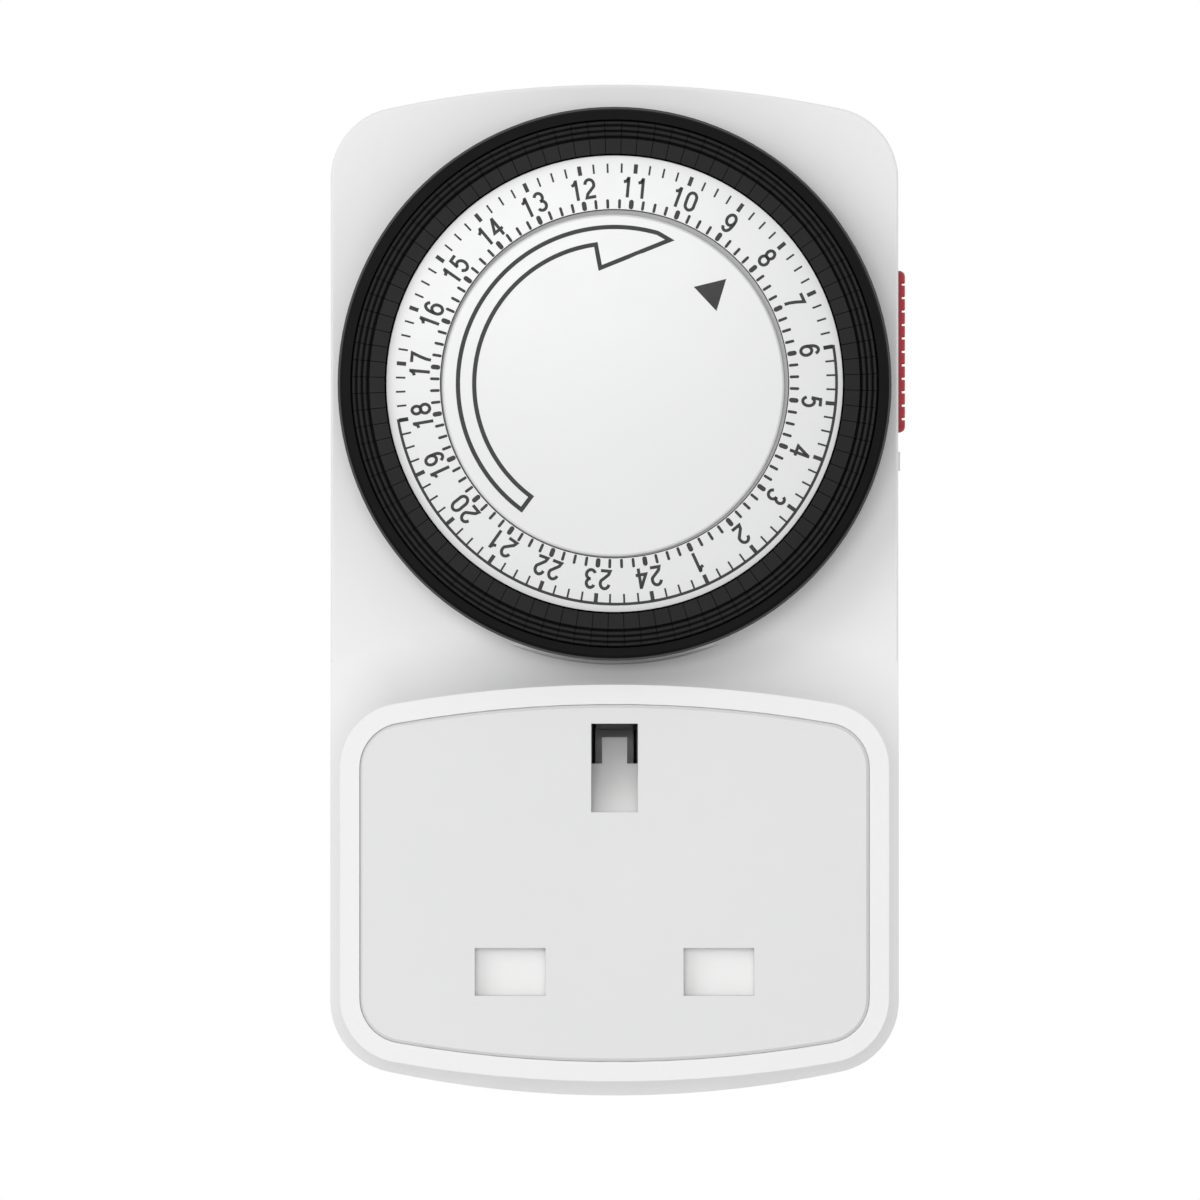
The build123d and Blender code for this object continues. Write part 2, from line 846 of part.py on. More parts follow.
with BuildPart() as earth_clip:
    earth_plane = Plane((0, 0, earth_height), x_dir=(1, 0, 0), z_dir=(0, 0, -1))
    add(clip_leaves(earth_plane, earth_clip_base, earth_wall_back - 0.8, 3.4, 3.4))
    with BuildSketch(upright(0)):
        with BuildLine():
            back_line = earth_clip_base - clip_thickness / 2 - strip_thickness / 2
            tail = Polyline(
                (earth_height, back_line),
                (earth_height + 6.6, back_line),
                (earth_height + 6.6, strip_foot + strip_thickness / 2),
                (earth_height - 2.6, strip_foot + strip_thickness / 2),
            )
        trace(tail, line_width=strip_thickness)
    extrude(amount=strip_width / 2, both=True)
    extrude(
        disc_faces(strip_foot, rivet_radius + pin_clearance, [earth_place]),
        amount=strip_thickness,
        mode=Mode.SUBTRACT,
    )
save(earth_clip, "earth_clip")

# ---------------------------------------------------------------- plug pins
flange_back = wall + pad_height


def make_pin(label, place, size, length, sleeved):
    """A solid pin with a flange inside the housing and a riveted stub."""
    width, height = size
    with BuildPart() as pin:
        extrude(box_face(-length, size, place), amount=length + flange_back)
        chamfer(pin.faces().sort_by(Axis.Y)[-1].edges(), 0.9)
        if sleeved:
            under = (width - 2 * sleeve_wall, height - 2 * sleeve_wall)
            with BuildSketch(level(-sleeve_length, place)):
                Rectangle(width + 1, height + 1)
                Rectangle(*under, mode=Mode.SUBTRACT)
            extrude(amount=sleeve_length + wall, mode=Mode.SUBTRACT)
        extrude(box_face(flange_back, (width + 2, height + 2), place), amount=pin_flange)
        stub = strip_foot + strip_thickness + pin_clearance
        extrude(disc_faces(flange_back, rivet_radius, [place]), amount=stub - flange_back)
        extrude(disc_faces(stub, rivet_radius + 0.7, [place]), amount=0.6)
    save(pin, label)


make_pin("neutral_pin", power_places[0], power_pin, power_pin_length, True)
make_pin("line_pin", power_places[1], power_pin, power_pin_length, True)
make_pin("earth_pin", earth_place, earth_pin_size, earth_pin_length, False)

with BuildPart() as pin_sleeves:
    for place in power_places:
        with BuildSketch(level(-sleeve_length, place)):
            Rectangle(*power_pin)
            inner = [side - 2 * sleeve_wall + 0.04 for side in power_pin]
            Rectangle(*inner, mode=Mode.SUBTRACT)
        extrude(amount=sleeve_length + wall - 0.05)
save(pin_sleeves, "pin_sleeves")

# ---------------------------------------------------------------- switch strips, leaf, follower
strip_x = follower_place[0]
leaf_back = leaf_face - leaf_thickness
feed_top = fixed_button_top - 0.6
feed_riser = 65.6

with BuildPart() as line_feed_bar:
    with BuildSketch(level(strip_foot)):
        with BuildLine():
            run = Polyline((power_x - 2.6, 0), (strip_x, 0), (strip_x, feed_riser))
        trace(run, line_width=strip_width)
    extrude(amount=strip_thickness)
    extrude(
        disc_faces(strip_foot, rivet_radius + pin_clearance, [power_places[1]]),
        amount=strip_thickness,
        mode=Mode.SUBTRACT,
    )
    with BuildSketch(upright(strip_x)):
        with BuildLine():
            riser = Polyline(
                (feed_riser - 2, strip_foot + strip_thickness / 2),
                (feed_riser, strip_foot + strip_thickness / 2),
                (feed_riser, feed_top - strip_thickness / 2),
                (contact_height + 2.5, feed_top - strip_thickness / 2),
            )
        trace(riser, line_width=strip_thickness)
    extrude(amount=strip_width / 2, both=True)
    extrude(disc_faces(feed_top - 0.1, contact_radius, [(strip_x, contact_height)]), amount=0.7)
save(line_feed_bar, "line_feed_bar")

clamp_height = leaf_pivot_height - 0.1
with BuildPart() as line_return_bar:
    with BuildSketch(level(return_depth)):
        with BuildLine():
            run = Polyline((power_x - 3, 0), (strip_x, 0), (strip_x, clamp_height - 2.6))
        trace(run, line_width=strip_width)
    extrude(amount=strip_thickness)
    with BuildSketch(upright(strip_x)):
        with BuildLine():
            step = Polyline(
                (clamp_height - 5, return_depth + strip_thickness / 2),
                (clamp_height - 3, return_depth + strip_thickness / 2),
                (clamp_height - 3, leaf_face - strip_thickness / 2),
                (clamp_height, leaf_face - strip_thickness / 2),
            )
        trace(step, line_width=strip_thickness)
    extrude(amount=strip_width / 2, both=True)
save(line_return_bar, "line_return_bar")

with BuildPart() as contact_leaf:
    extrude(
        span_face(
            leaf_back,
            strip_x - leaf_width / 2,
            strip_x + leaf_width / 2,
            leaf_pivot_height + 0.1,
            leaf_end_height,
        ),
        amount=leaf_thickness,
    )
    extrude(
        disc_faces(leaf_back - contact_button, contact_radius, [(strip_x, contact_height)]),
        amount=contact_button + 0.1,
    )
save(contact_leaf, "contact_leaf")

nose = 0.6
with BuildPart() as cam_follower:
    with BuildSketch(radial(follower_place)):
        with BuildLine():
            Polyline(
                (0, follower_top),
                (0, follower_foot),
                (follower_radius, follower_foot),
                (follower_radius, floor_back - 1.3),
                (follower_radius + 0.8, floor_back - 1.3),
                (follower_radius + 0.8, floor_back - 0.3),
                (follower_radius, floor_back - 0.3),
                (follower_radius, follower_top - nose),
                (follower_radius - nose, follower_top),
                close=True,
            )
        make_face()
    revolve(axis=depth_axis(follower_place))
save(cam_follower, "cam_follower")

# ---------------------------------------------------------------- override slide
arm_height = 67.5
with BuildPart() as override_slide:
    with BuildSketch(Plane.YZ.offset(slide_inner)):
        bottom = slot_bottom - slide_travel - slide_clearance
        top = slot_top + slide_clearance
        with Locations((-knob_depth, (bottom + top) / 2)):
            Rectangle(2 * slide_half_depth, top - bottom)
    extrude(amount=slide_plate)
    with BuildSketch(Plane.YZ.offset(slide_outer - 0.1)):
        with Locations((-knob_depth, knob_middle)):
            RectangleRounded(knob_depth_width, knob_length, 0.9)
    extrude(amount=half_body + knob_rise - slide_outer + 0.1)
    fillet(override_slide.faces().sort_by(Axis.X)[-1].edges(), knob_edge)
    # grooves between the grip teeth
    pitch = knob_length / knob_teeth
    for n in range(1, knob_teeth):
        with BuildSketch(flat(knob_bottom + n * pitch)):
            with Locations((half_body + knob_rise, knob_depth)):
                Rectangle(2 * knob_groove, knob_depth_width + 1)
        extrude(amount=knob_groove_width / 2, both=True, mode=Mode.SUBTRACT)
    # arm with a ramp over the contact leaf
    with BuildSketch(upright(strip_x + 1.0)):
        with BuildLine():
            Polyline(
                (arm_height - 1.5, leaf_face + 2.6),
                (arm_height - 1.5, leaf_face + 0.6),
                (arm_height, leaf_face + 0.6),
                (arm_height + 1.5, leaf_face + 1.6),
                (arm_height + 1.5, leaf_face + 2.6),
                close=True,
            )
        make_face()
    extrude(amount=slide_inner + 0.1 - strip_x - 1.0)
save(override_slide, "override_slide")

# ---------------------------------------------------------------- dial drum
ring_root = ring_radius + dedendum * ring_module
skirt_inner = ring_root + 0.1
skirt_outer = skirt_inner + 1.35
seat_depth = dial_front - dial_plate_thickness
web_top = post_top - 0.3
web_back = web_top - web_thickness
gear_back = floor_depth + 1.2
comb_top = comb_depth + comb_thickness
collar_front = segment_top - 0.4

with BuildPart() as dial_drum:
    with BuildSketch(radial(dial_centre)):
        with BuildLine():
            Polyline(
                (post_radius + running_clearance, floor_depth + 1.0),
                (hub_radius, floor_depth + 1.0),
                (hub_radius, web_back),
                (skirt_inner, web_back),
                (skirt_inner, gear_back),
                (skirt_outer, gear_back),
                (skirt_outer, web_back),
                (dial_plate_outer - 1.55, web_back),
                (dial_plate_outer - 1.55, comb_depth),
                (tail_outer + 0.3, comb_depth),
                (tail_outer + 0.3, collar_back),
                (collar_radius, collar_back),
                (collar_radius, collar_front - collar_chamfer),
                (collar_radius - collar_chamfer, collar_front),
                (collar_bore, collar_front),
                (collar_bore, comb_top),
                (dial_plate_outer, comb_top),
                (dial_plate_outer, seat_depth),
                (dial_plate_inner, seat_depth),
                (dial_plate_inner, web_top),
                (post_radius + running_clearance, web_top),
                close=True,
            )
        make_face()
    revolve(axis=depth_axis(dial_centre))
    # internal gear ring
    with BuildSketch(level(gear_back, dial_centre)):
        Circle(skirt_inner + 0.4)
        with BuildLine():
            phase = clutch_angle + 180 / ring_teeth
            heights = (-dedendum, addendum)
            Polyline(*tooth_points(ring_teeth, ring_module, phase, heights, True), close=True)
        make_face(mode=Mode.SUBTRACT)
    extrude(amount=ring_gear_thickness)
    # a slot for the tail of each segment
    with BuildSketch(level(comb_depth, dial_centre)):
        slot_length = tail_outer - tail_inner + 2 * tail_clearance
        start = first_hour_angle + segment_angle / 2
        with PolarLocations((tail_inner + tail_outer) / 2, segments, start_angle=start):
            Rectangle(slot_length, tail_width + 2 * tail_clearance)
    extrude(amount=comb_thickness, mode=Mode.SUBTRACT)
save(dial_drum, "dial_drum")

with BuildPart() as dial_plate:
    with BuildSketch(radial(dial_centre)):
        with BuildLine():
            Polyline(
                (dial_plate_inner, seat_depth),
                (dial_plate_outer - 0.02, seat_depth),
                (dial_plate_outer - 0.02, dial_front - dial_plate_fall),
                (dial_plate_inner, dial_front),
                close=True,
            )
        make_face()
    revolve(axis=depth_axis(dial_centre))
save(dial_plate, "dial_plate")

with BuildPart() as dial_washer:
    with BuildSketch(level(floor_depth + 0.1, dial_centre)):
        Circle(hub_radius - 0.1)
        Circle(post_radius + 0.2, mode=Mode.SUBTRACT)
    extrude(amount=0.8)
save(dial_washer, "dial_washer")

disc_face_radius = disc_radius - disc_edge
dome_radius = (disc_face_radius**2 + disc_dome**2) / (2 * disc_dome)


def dome_rise(radius):
    """How far the disc's domed face stands above its rim at a radius."""
    return math.sqrt(dome_radius**2 - radius**2) - (dome_radius - disc_dome)


with BuildPart() as centre_disc:
    disc_back = dial_front - disc_thickness
    step_depth = dial_front - disc_step
    # stem, neck and the flange that closes the gap round the disc
    with BuildSketch(radial(dial_centre)):
        with BuildLine():
            Polyline(
                (0, post_top - 9),
                (stem_radius, post_top - 9),
                (stem_radius, post_top),
                (hub_radius - 0.5, post_top),
                (hub_radius - 0.5, disc_back),
                (disc_step_radius, disc_back),
                (disc_step_radius, step_depth),
                (0, step_depth),
                close=True,
            )
        make_face()
    revolve(axis=depth_axis(dial_centre))
    # domed face, which sits a little low and to the left on its flange
    face_centre = (dial_centre[0] + disc_offset[0], dial_centre[1] + disc_offset[1])
    with BuildSketch(radial(face_centre)):
        with BuildLine():
            Polyline(
                (0, dial_front + disc_dome),
                (0, step_depth),
                (disc_radius, step_depth),
                (disc_radius, dial_front - disc_edge),
                (disc_face_radius, dial_front),
            )
            halfway = disc_face_radius / 2
            ThreePointArc(
                (disc_face_radius, dial_front),
                (halfway, dial_front + dome_rise(halfway)),
                (0, dial_front + disc_dome),
            )
        make_face()
    revolve(axis=depth_axis(face_centre))
save(centre_disc, "centre_disc")

# ---------------------------------------------------------------- push segments
head_bottom = segment_top - segment_head


def segment_profile():
    """The head in (radius, depth): a flat finger rest, then three grip ridges."""
    points = [(segment_inner, head_bottom), (segment_inner, segment_top)]
    points.append((segment_flat_end, segment_top))
    for n in range(3):
        valley = segment_flat_end + 0.2 + n * ridge_pitch
        points.append((valley, segment_top - ridge_depth))
        points.append((valley + ridge_pitch / 2, segment_top))
    points.append((segment_outer, segment_top - ridge_depth - 0.1))
    points.append((segment_outer, head_bottom))
    return points


with BuildPart() as segment:
    # drawn along +X of the dial, wide enough for both cuts
    with BuildSketch(Plane((0, 0, 0), x_dir=(1, 0, 0), z_dir=(0, 0, -1))):
        with BuildLine():
            Polyline(*segment_profile(), close=True)
        make_face()
    extrude(amount=1.5, both=True)
    for side in (-1, 1):
        turn = math.radians(side * segment_angle / 2)
        normal = (-math.sin(turn) * side, 0, math.cos(turn) * side)
        shift = segment_gap / 2
        origin = (-normal[0] * shift, 0, -normal[2] * shift)
        split(bisect_by=Plane(origin, z_dir=normal), keep=Keep.BOTTOM)
    tail_size = (tail_outer - tail_inner, tail_width)
    extrude(
        box_face(tail_end, tail_size, ((tail_inner + tail_outer) / 2, 0)), amount=tail_length
    )

for hour in range(24):
    with BuildPart() as hour_group:
        for quarter in range(segments_per_hour):
            turn = first_hour_angle + 15 * hour + segment_angle * (quarter + 0.5)
            placed = segment.part.rotate(Axis((0, 0, 0), (0, -1, 0)), turn)
            add(Pos(0, 0, dial_height) * placed)
    save(hour_group, f"segments_hour_{hour:02d}")

# ---------------------------------------------------------------- clutch and gear train
bore = axle_radius + running_clearance


def mesh_phase(own, other):
    """The angle from one gear's centre to another's, where their teeth meet."""
    return math.degrees(math.atan2(other[1] - own[1], other[0] - own[0]))


def wheel_phase(own, driver, teeth):
    """A phase that sets a gap, not a tooth, on the line to the driving pinion."""
    return mesh_phase(own, driver) + 180 / teeth


with BuildPart() as clutch_pinion:
    extrude(disc_faces(clutch_face, 3.2, [clutch_place]), amount=0.9)
    extrude(
        disc_faces(clutch_face, ring_module * (clutch_teeth / 2 - dedendum) + 0.3, [clutch_place]),
        amount=gear_back - clutch_face,
    )
    extrude(
        pinion_face(gear_back - 0.2, clutch_place, clutch_teeth, ring_module, clutch_angle),
        amount=ring_gear_thickness + 0.4,
    )
    extrude(
        disc_faces(clutch_face, bore, [clutch_place]),
        amount=gear_back + ring_gear_thickness + 1 - clutch_face,
        mode=Mode.SUBTRACT,
    )
save(clutch_pinion, "clutch_pinion")

with BuildPart() as clutch_wheel:
    phase = wheel_phase(clutch_place, second_place, third_teeth)
    extrude(wheel_face(third_layer, clutch_place, third_teeth, phase), amount=wheel_thickness)
    extrude(
        disc_faces(mechanism_front + 0.1, 1.05, [clutch_place]),
        amount=third_layer - mechanism_front,
    )
    extrude(
        disc_faces(mechanism_front, bore, [clutch_place]),
        amount=clutch_face - mechanism_front,
        mode=Mode.SUBTRACT,
    )
save(clutch_wheel, "clutch_wheel")


def compound_gear(label, place, layer, teeth, driver, driven):
    """A moulded wheel with a pinion on its front, running on a fixed axle."""
    with BuildPart() as gear:
        phase = wheel_phase(place, driver, teeth)
        extrude(wheel_face(layer, place, teeth, phase), amount=wheel_thickness)
        extrude(
            disc_faces(mechanism_front + 0.1, 1.2, [place]),
            amount=layer - mechanism_front,
        )
        teeth_end = layer + layer_height + wheel_thickness + 0.3
        extrude(
            pinion_face(layer + 0.1, place, pinion_teeth, train_module, mesh_phase(place, driven)),
            amount=teeth_end - layer - 0.1,
        )
        extrude(disc_faces(teeth_end - 0.1, 1.0, [place]), amount=floor_back - 0.1 - teeth_end)
        extrude(
            disc_faces(mechanism_front, bore, [place]),
            amount=floor_back - mechanism_front,
            mode=Mode.SUBTRACT,
        )
    save(gear, label)


compound_gear(
    "second_gear", second_place, second_layer, second_teeth, first_place, clutch_place
)
compound_gear("first_gear", first_place, first_layer, first_teeth, shaft_place, second_place)

with BuildPart() as motor_pinion:
    gearbox_back = plate_depth - 0.1 - gearbox_thickness
    extrude(
        disc_faces(gearbox_back + 0.6, 0.7, [shaft_place]),
        amount=first_layer - gearbox_back - 0.6,
    )
    phase = mesh_phase(shaft_place, first_place)
    extrude(
        pinion_face(first_layer - 0.3, shaft_place, pinion_teeth, train_module, phase),
        amount=wheel_thickness + 0.6,
    )
save(motor_pinion, "motor_pinion")

with BuildPart() as gear_axles:
    extrude(
        disc_faces(plate_depth, axle_radius, [first_place, second_place]),
        amount=floor_back + 1.0 - plate_depth,
    )
    extrude(
        disc_faces(plate_depth, axle_radius, [clutch_place]),
        amount=gear_back + ring_gear_thickness + 0.8 - plate_depth,
    )
save(gear_axles, "gear_axles")

with BuildPart() as mechanism_plate:
    with BuildSketch(level(plate_depth)):
        with Locations(*post_places, *ear_places):
            Circle(3.2)
        make_hull()
    extrude(amount=mechanism_thickness)
    extrude(
        disc_faces(plate_depth, 0.95, post_places), amount=mechanism_thickness, mode=Mode.SUBTRACT
    )
    extrude(
        disc_faces(plate_depth, axle_radius + 0.01, [first_place, second_place, clutch_place]),
        amount=mechanism_thickness,
        mode=Mode.SUBTRACT,
    )
    extrude(
        disc_faces(plate_depth, 1.3, [shaft_place]), amount=mechanism_thickness, mode=Mode.SUBTRACT
    )
    extrude(
        disc_faces(plate_depth, 1.1, ear_places), amount=mechanism_thickness, mode=Mode.SUBTRACT
    )
save(mechanism_plate, "mechanism_plate")

# ---------------------------------------------------------------- motor
can_front = plate_depth - 0.05
with BuildPart() as motor_can:
    extrude(disc_faces(motor_back, motor_radius, [motor_place]), amount=can_front - motor_back)
    chamfer(motor_can.faces().sort_by(Axis.Y)[-1].edges(), 0.6)
    with BuildSketch(level(can_front - motor_wall)):
        for angle, ear in zip(ear_angles, ear_places):
            with Locations(ear):
                Circle(2.6)
            with Locations(around(motor_place, ear_distance - 2.4, angle)):
                Rectangle(5.2, 5.2, rotation=angle)
    extrude(amount=motor_wall)
    extrude(
        disc_faces(motor_back + motor_wall, motor_radius - motor_wall, [motor_place]),
        amount=can_front - motor_back,
        mode=Mode.SUBTRACT,
    )
    extrude(disc_faces(can_front - motor_wall, 1.05, ear_places), amount=1, mode=Mode.SUBTRACT)
    extrude(disc_faces(motor_back, 0.85, [motor_place]), amount=motor_wall, mode=Mode.SUBTRACT)
save(motor_can, "motor_can")

with BuildPart() as motor_screws:
    extrude(disc_faces(mechanism_front, 1.9, ear_places), amount=1.0)
    stem_end = can_front - motor_wall - 0.6
    extrude(disc_faces(stem_end, 1.0, ear_places), amount=mechanism_front - stem_end + 0.1)
save(motor_screws, "motor_screws")

with BuildPart() as motor_gearbox:
    extrude(
        disc_faces(gearbox_back, motor_radius - motor_wall - 0.05, [motor_place]),
        amount=gearbox_thickness,
    )
    extrude(
        disc_faces(gearbox_back + 0.5, 0.75, [shaft_place]),
        amount=gearbox_thickness,
        mode=Mode.SUBTRACT,
    )
    extrude(disc_faces(gearbox_back, 0.85, [motor_place]), amount=1.4, mode=Mode.SUBTRACT)
save(motor_gearbox, "motor_gearbox")

coil_back = motor_back + motor_wall + 0.2
coil_front = gearbox_back - 0.2
flange = 0.8
with BuildPart() as coil_bobbin:
    with BuildSketch(radial(motor_place)):
        with BuildLine():
            inner = rotor_radius + 0.5
            outer = motor_radius - motor_wall - 0.4
            Polyline(
                (inner, coil_back),
                (outer, coil_back),
                (outer, coil_back + flange),
                (inner + flange, coil_back + flange),
                (inner + flange, coil_front - flange),
                (outer, coil_front - flange),
                (outer, coil_front),
                (inner, coil_front),
                close=True,
            )
        make_face()
    revolve(axis=depth_axis(motor_place))
save(coil_bobbin, "coil_bobbin")

with BuildPart() as motor_coil:
    with BuildSketch(level(coil_back + flange + 0.05, motor_place)):
        Circle(outer - 0.7)
        Circle(inner + flange + 0.05, mode=Mode.SUBTRACT)
    extrude(amount=coil_front - coil_back - 2 * flange - 0.1)
save(motor_coil, "motor_coil")

with BuildPart() as motor_rotor:
    extrude(
        disc_faces(coil_back + 0.6, rotor_radius, [motor_place]),
        amount=coil_front - coil_back - 1.2,
    )
    extrude(
        disc_faces(motor_back + 0.1, 0.8, [motor_place]),
        amount=gearbox_back + 1.2 - motor_back - 0.1,
    )
save(motor_rotor, "motor_rotor")
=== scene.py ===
"""Looks of the plug-in timer switch: materials, dial printing, light and camera."""

import json
import math

import bmesh
import bpy
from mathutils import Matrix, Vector
from mathutils.bvhtree import BVHTree


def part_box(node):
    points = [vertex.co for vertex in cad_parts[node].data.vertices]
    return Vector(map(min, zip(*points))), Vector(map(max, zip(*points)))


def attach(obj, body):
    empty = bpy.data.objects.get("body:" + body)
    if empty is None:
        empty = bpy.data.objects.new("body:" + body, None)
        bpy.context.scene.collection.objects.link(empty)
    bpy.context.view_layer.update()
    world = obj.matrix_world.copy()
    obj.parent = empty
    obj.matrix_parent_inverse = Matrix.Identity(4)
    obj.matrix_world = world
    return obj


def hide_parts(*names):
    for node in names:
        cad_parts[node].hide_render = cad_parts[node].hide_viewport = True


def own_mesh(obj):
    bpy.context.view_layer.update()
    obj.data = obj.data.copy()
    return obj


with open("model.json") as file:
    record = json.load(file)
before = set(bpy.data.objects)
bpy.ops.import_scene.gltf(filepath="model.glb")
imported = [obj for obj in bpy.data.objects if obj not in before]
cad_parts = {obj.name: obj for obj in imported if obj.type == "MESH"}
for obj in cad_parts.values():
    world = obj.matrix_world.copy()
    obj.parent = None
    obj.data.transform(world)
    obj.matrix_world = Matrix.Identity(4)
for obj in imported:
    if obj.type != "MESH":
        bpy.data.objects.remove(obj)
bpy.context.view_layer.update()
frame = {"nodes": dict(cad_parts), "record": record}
MM = 0.001

# ---------------------------------------------------------------- places, from the frame
plate_low, plate_high = (Vector(corner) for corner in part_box("dial_plate"))
DIAL_X = (plate_low.x + plate_high.x) / 2
DIAL_Z = (plate_low.z + plate_high.z) / 2
SOCKET_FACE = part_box("socket_plate")[0][1]
COLLAR_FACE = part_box("dial_drum")[0][1]
DISC_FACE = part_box("centre_disc")[0][1]

# ---------------------------------------------------------------- printing sizes
INK = 0.02 * MM
HOURS = 24
QUARTERS = 4
HOUR_ZERO = math.radians(279.7)  # where hour 24 stands, counter-clockwise from +X
PRINT_CENTRE = (DIAL_X + 0.13 * MM, DIAL_Z + 0.03 * MM)
DISC_CENTRE = (DIAL_X, DIAL_Z)

# ---------------------------------------------------------------- centre disc
# Its depths are drops behind the highest point of its dome
DISC_OFFSET = (-0.15 * MM, -0.17 * MM)
DISC_DOME = 0.35 * MM
DISC_FACE_RADIUS = 17.95 * MM
DISC_RADIUS = 18.15 * MM
DISC_EDGE = 0.55 * MM
DISC_STEP = 0.90 * MM
DISC_STEP_RADIUS = 18.45 * MM
DISC_BACK = 1.75 * MM
DISC_NECK = (6.0 * MM, 3.45 * MM)
DISC_STEM = (1.5 * MM, 12.45 * MM)
DISC_RINGS = 24
LATHE_TURNS = 180
DISC_SHARP = math.radians(20)

# ---------------------------------------------------------------- marks
OUTER_TICK = (22.35 * MM, 23.35 * MM)
INNER_TICK = (18.58 * MM, 19.60 * MM)
OUTER_WIDTHS = (0.42 * MM, 0.20 * MM)  # at an hour, at a quarter
INNER_WIDTHS = (0.50 * MM, 0.30 * MM)
NIGHT_RADIUS = 23.42 * MM
NIGHT_WIDTH = 0.30 * MM
NIGHT_HOURS = (-6, 6)
NIGHT_END = 22.35 * MM
DIGIT_RADIUS = 20.86 * MM
DIGIT_HEIGHT = 2.22 * MM
DIGIT_WIDTH = 1.27 * MM
DIGIT_STROKE = 0.33 * MM
DIGIT_ADVANCE = 1.55 * MM
# Angles on the disc are in degrees, counter-clockwise from +X
ARROW_STROKE = 0.457 * MM
ARROW_OUTER = 16.63 * MM
ARROW_INNER = 14.90 * MM
ARROW_TAIL = 233.5
ARROW_SHOULDER = 74.0
ARROW_NECK = 97.7
ARROW_BARB = (12.37 * MM, 97.1)
ARROW_TIP = (16.33 * MM, 69.0)
POINTER = ((16.24 * MM, 43.2), (13.27 * MM, 50.7), (13.27 * MM, 35.5))
POINTER_CUTS = 5
ARC_STEP = 1.5
OVAL_STEP = 18
TICK_END_STEP = 30
MITRE_LIMIT = 0.3
WELD = 1e-8
RAY_START = -1.0

# ---------------------------------------------------------------- material scales
DRIFT_SCALE = 35.0  # slow change of tone over a moulding
GLOSS_SCALE = 320.0
DRAWING_SCALE = 2600.0  # drawing marks on metal
TARNISH_SCALE = 140.0
TONE_RANGE = (0.35, 0.65)
BEVEL_SAMPLES = 6
DRAWING_DEPTH = 0.002 * MM
# Soft edges of the painted highlight's mask, across its radius and its depth
RIM_FEATHER = 0.06 * MM
FRONT_FEATHER = 0.1 * MM


# ---------------------------------------------------------------- materials
def new_material(name, colour, roughness, **sockets):
    """A Principled material and its shader node. Constants go on the shader's own sockets."""
    material = bpy.data.materials.new(name)
    material.use_nodes = True
    shader = material.node_tree.nodes["Principled BSDF"]
    shader.inputs["Base Color"].default_value = (*colour, 1)
    shader.inputs["Roughness"].default_value = roughness
    for socket, value in sockets.items():
        shader.inputs[socket.replace("_", " ")].default_value = value
    return material, shader


def object_noise(material, scale, detail=2.0, stretch=(1, 1, 1)):
    """Noise in object space, which is the row's frame in metres."""
    nodes, links = material.node_tree.nodes, material.node_tree.links
    where = nodes.new("ShaderNodeTexCoord")
    mapping = nodes.new("ShaderNodeMapping")
    mapping.inputs["Scale"].default_value = stretch
    noise = nodes.new("ShaderNodeTexNoise")
    noise.inputs["Scale"].default_value = scale
    noise.inputs["Detail"].default_value = detail
    links.new(where.outputs["Object"], mapping.inputs["Vector"])
    links.new(mapping.outputs["Vector"], noise.inputs["Vector"])
    return noise.outputs["Fac"]


def add_bump(material, shader, height, depth, bevel=0.0):
    """A bump of a depth in metres, over edges that a bevel rounds."""
    nodes, links = material.node_tree.nodes, material.node_tree.links
    bump = nodes.new("ShaderNodeBump")
    bump.inputs["Strength"].default_value = 1.0
    bump.inputs["Distance"].default_value = depth
    links.new(height, bump.inputs["Height"])
    if bevel:
        edge = nodes.new("ShaderNodeBevel")
        edge.samples = BEVEL_SAMPLES
        edge.inputs["Radius"].default_value = bevel
        links.new(edge.outputs["Normal"], bump.inputs["Normal"])
    links.new(bump.outputs["Normal"], shader.inputs["Normal"])


def vary_colour(material, shader, factor, dark, light):
    """Base colour that drifts between two tones."""
    nodes, links = material.node_tree.nodes, material.node_tree.links
    ramp = nodes.new("ShaderNodeValToRGB")
    for element, position, tone in zip(ramp.color_ramp.elements, TONE_RANGE, (dark, light)):
        element.position = position
        element.color = (*tone, 1)
    links.new(factor, ramp.inputs["Fac"])
    links.new(ramp.outputs["Color"], shader.inputs["Base Color"])


def vary_roughness(material, shader, factor, low, high):
    """Roughness that drifts between two values."""
    nodes, links = material.node_tree.nodes, material.node_tree.links
    spread = nodes.new("ShaderNodeMapRange")
    spread.inputs["To Min"].default_value = low
    spread.inputs["To Max"].default_value = high
    links.new(factor, spread.inputs["Value"])
    links.new(spread.outputs["Result"], shader.inputs["Roughness"])


def plastic(name, dark, light, rough, grain=0.0, grain_scale=9000.0, bevel=0.12 * MM, **sockets):
    """Moulded plastic: faint tone and gloss drift, and the mould's fine spark texture."""
    material, shader = new_material(name, light, rough[0], **sockets)
    vary_colour(material, shader, object_noise(material, DRIFT_SCALE), dark, light)
    vary_roughness(material, shader, object_noise(material, GLOSS_SCALE, 4.0), *rough)
    add_bump(material, shader, object_noise(material, grain_scale, 3.0), grain, bevel)
    return material


def metal(name, dark, light, rough, stretch=(1, 1, 1), bevel=0.06 * MM):
    """Bare or plated metal: fine marks, which stretch can draw out along one direction."""
    material, shader = new_material(name, light, rough[0], Metallic=1.0)
    marks = object_noise(material, DRAWING_SCALE, 3.0, stretch)
    vary_colour(material, shader, object_noise(material, TARNISH_SCALE, 3.0), dark, light)
    vary_roughness(material, shader, marks, *rough)
    add_bump(material, shader, marks, DRAWING_DEPTH, bevel)
    return material


